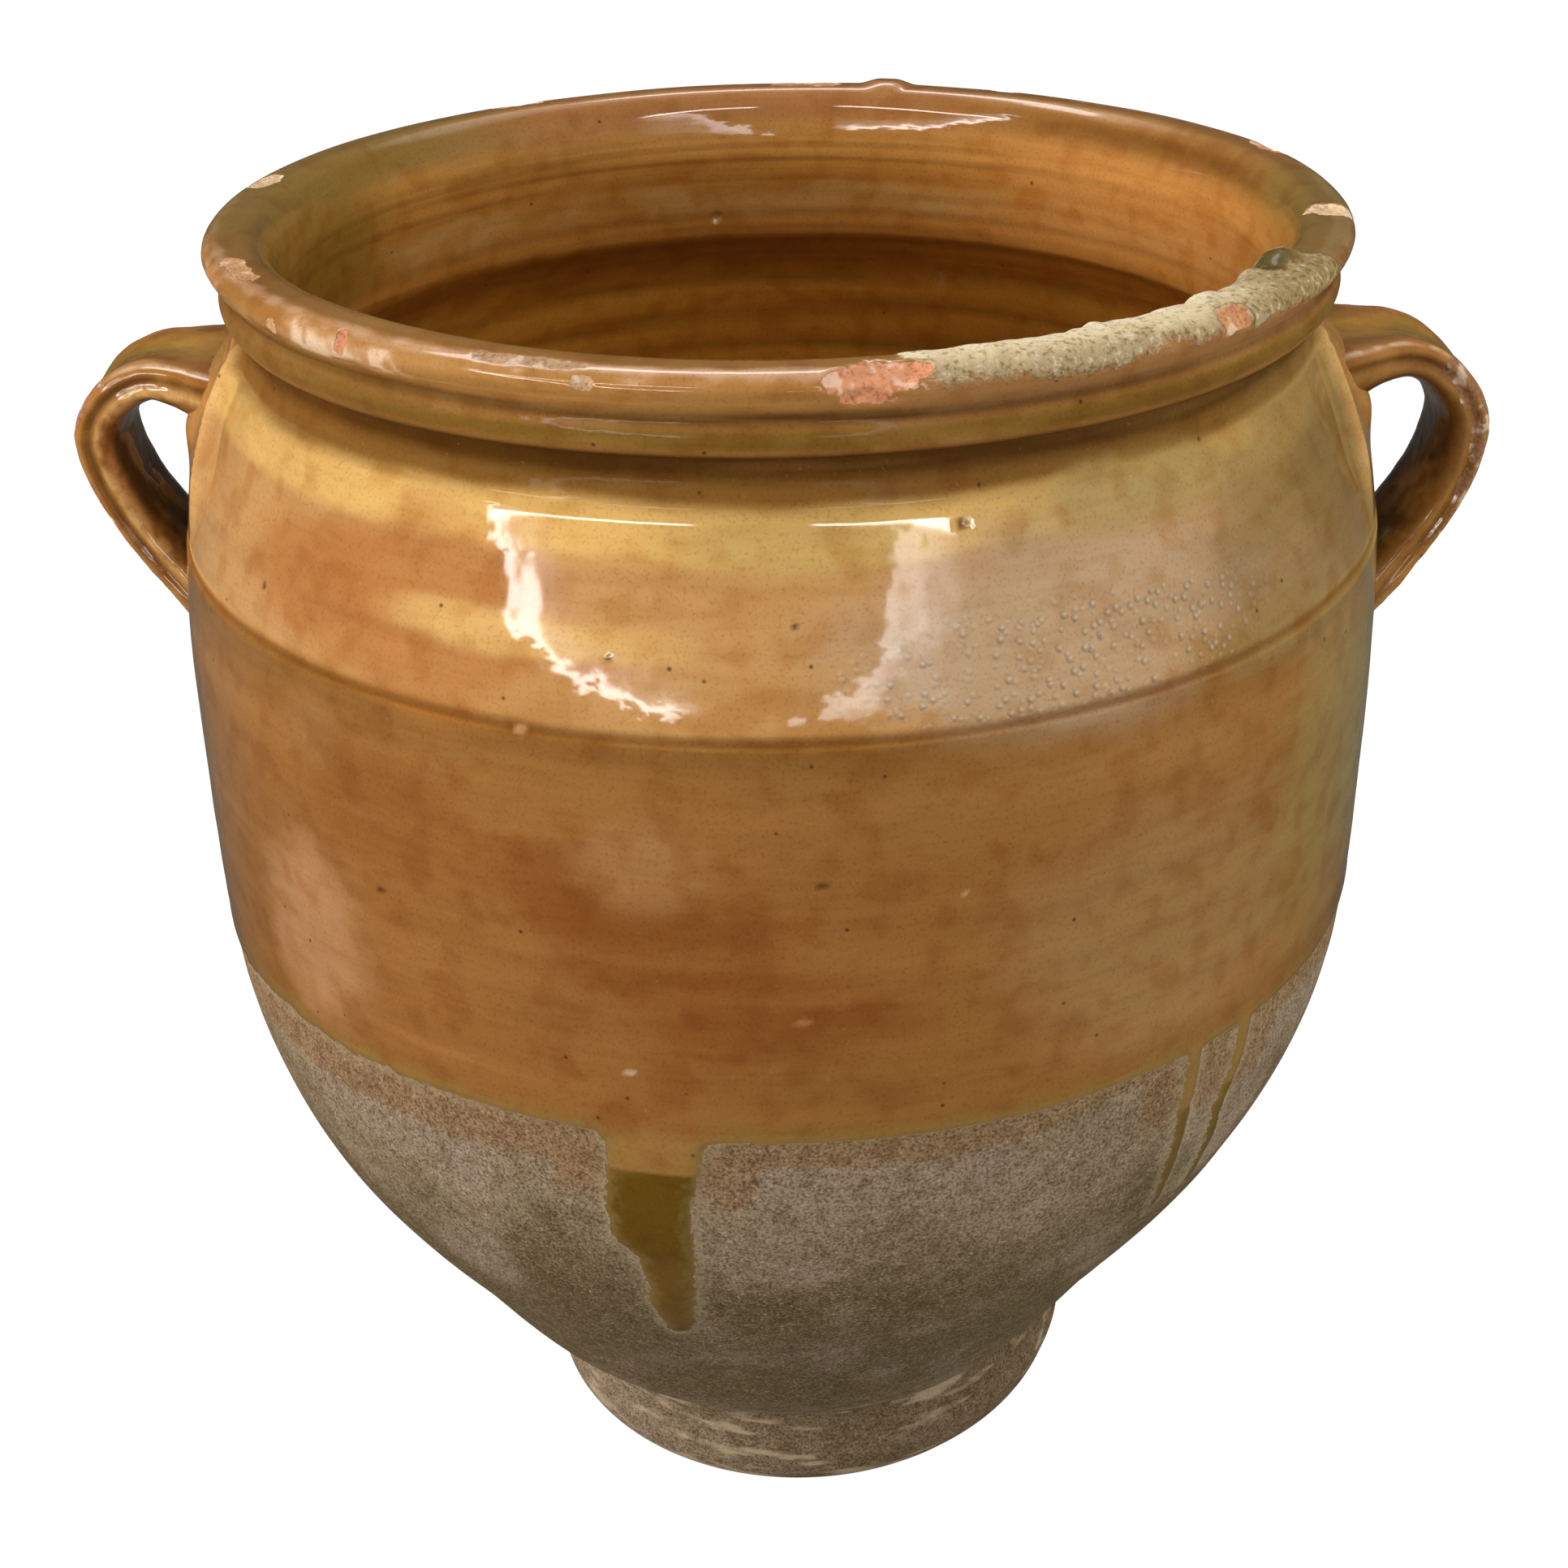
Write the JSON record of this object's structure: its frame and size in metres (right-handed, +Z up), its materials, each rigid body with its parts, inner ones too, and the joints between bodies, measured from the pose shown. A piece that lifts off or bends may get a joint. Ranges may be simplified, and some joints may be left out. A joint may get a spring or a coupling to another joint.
{
  "type": "confit pot",
  "caption": "Thrown earthenware jar for food kept under fat, wide-mouthed, with a collared rim, two strap handles, an incised shoulder line, a swelling belly and a small foot.",
  "frame": {"origin": "centre of the standing ring, on the table", "axes": "+Z up along the pot's axis, handles on +X and -X, the side in the picture faces -Y"},
  "size_m": [0.2804, 0.2444, 0.281],
  "materials": {
    "glazed_earthenware": "gloss lead glaze over the upper two thirds, matt bare clay below and on the worn edges"
  },
  "bodies": {
    "root": {"pot": "glazed_earthenware"}
  },
  "joints": []
}
